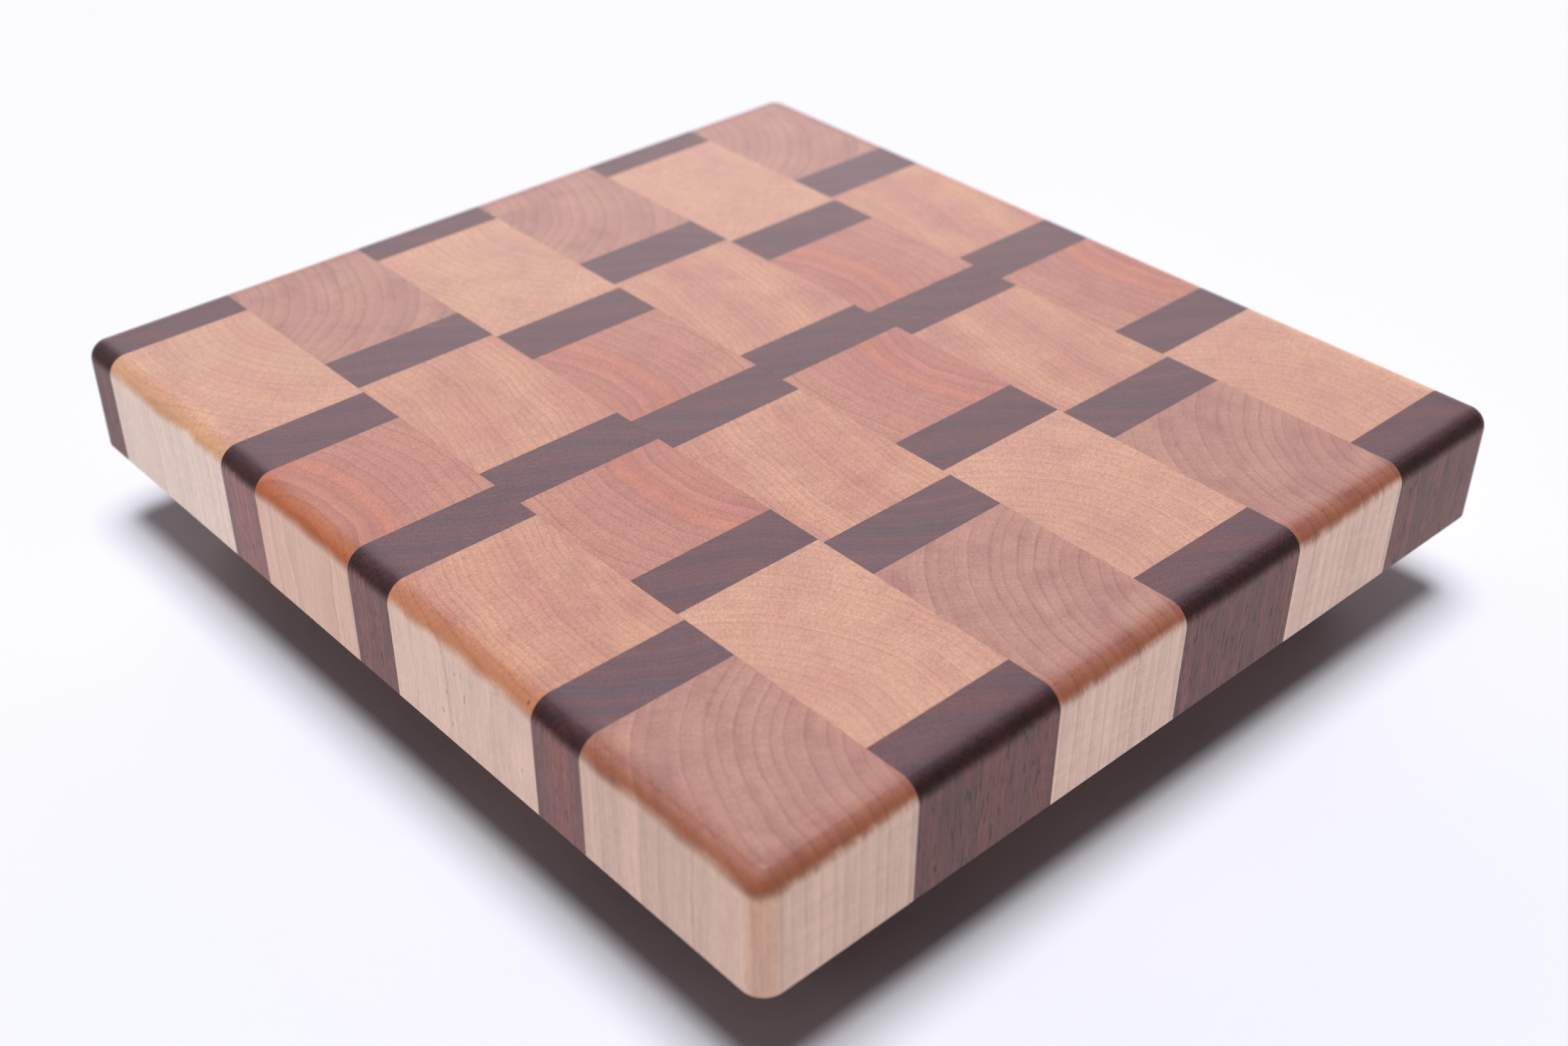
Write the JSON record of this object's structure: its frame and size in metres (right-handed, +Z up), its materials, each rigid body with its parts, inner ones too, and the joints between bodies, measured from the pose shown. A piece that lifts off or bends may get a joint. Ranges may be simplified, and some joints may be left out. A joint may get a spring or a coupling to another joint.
{
  "type": "cutting board",
  "caption": "Rectangular end-grain butcher-block cutting board of glued light and dark wood blocks, with rounded top edges, standing on screwed rubber feet.",
  "frame": {"origin": "on the table plane under the middle of the board, where the feet's treads rest", "axes": "+X across the six strips, +Y along the strips, +Z up; the corner nearest the camera in the picture is the -X -Y corner"},
  "size_m": [0.3036, 0.33, 0.0682],
  "materials": {
    "maple_1": "oiled satin, pinkish brown end grain with bold growth rings",
    "maple_2": "oiled satin, light pinkish tan end grain",
    "maple_3": "oiled satin, reddish end grain with an orange streak",
    "maple_4": "oiled satin, pale yellowish tan end grain",
    "walnut": "oiled satin, dark brown",
    "rubber": "matt moulded",
    "steel": "stainless, bright"
  },
  "bodies": {
    "root": {"strip_1_maple_1": "maple_1", "strip_1_walnut_1": "walnut", "strip_1_maple_2": "maple_2", "strip_1_walnut_2": "walnut", "strip_1_maple_3": "maple_3", "strip_1_walnut_3": "walnut", "strip_1_maple_4": "maple_4", "strip_1_walnut_4": "walnut", "strip_2_maple_1": "maple_1", "strip_2_walnut_1": "walnut", "strip_2_maple_2": "maple_2", "strip_2_walnut_2": "walnut", "strip_2_maple_3": "maple_3", "strip_2_walnut_3": "walnut", "strip_2_maple_4": "maple_4", "strip_2_walnut_4": "walnut", "strip_3_maple_1": "maple_1", "strip_3_walnut_1": "walnut", "strip_3_maple_2": "maple_2", "strip_3_walnut_2": "walnut", "strip_3_maple_3": "maple_3", "strip_3_walnut_3": "walnut", "strip_3_maple_4": "maple_4", "strip_3_walnut_4": "walnut", "strip_4_maple_1": "maple_1", "strip_4_walnut_1": "walnut", "strip_4_maple_2": "maple_2", "strip_4_walnut_2": "walnut", "strip_4_maple_3": "maple_3", "strip_4_walnut_3": "walnut", "strip_4_maple_4": "maple_4", "strip_4_walnut_4": "walnut", "strip_5_maple_1": "maple_1", "strip_5_walnut_1": "walnut", "strip_5_maple_2": "maple_2", "strip_5_walnut_2": "walnut", "strip_5_maple_3": "maple_3", "strip_5_walnut_3": "walnut", "strip_5_maple_4": "maple_4", "strip_5_walnut_4": "walnut", "strip_6_maple_1": "maple_1", "strip_6_walnut_1": "walnut", "strip_6_maple_2": "maple_2", "strip_6_walnut_2": "walnut", "strip_6_maple_3": "maple_3", "strip_6_walnut_3": "walnut", "strip_6_maple_4": "maple_4", "strip_6_walnut_4": "walnut", "foot_front_left": "rubber", "foot_front_right": "rubber", "foot_back_left": "rubber", "foot_back_right": "rubber", "washer_front_left": "steel", "washer_front_right": "steel", "washer_back_left": "steel", "washer_back_right": "steel", "screw_front_left": "steel", "screw_front_right": "steel", "screw_back_left": "steel", "screw_back_right": "steel"}
  },
  "joints": []
}
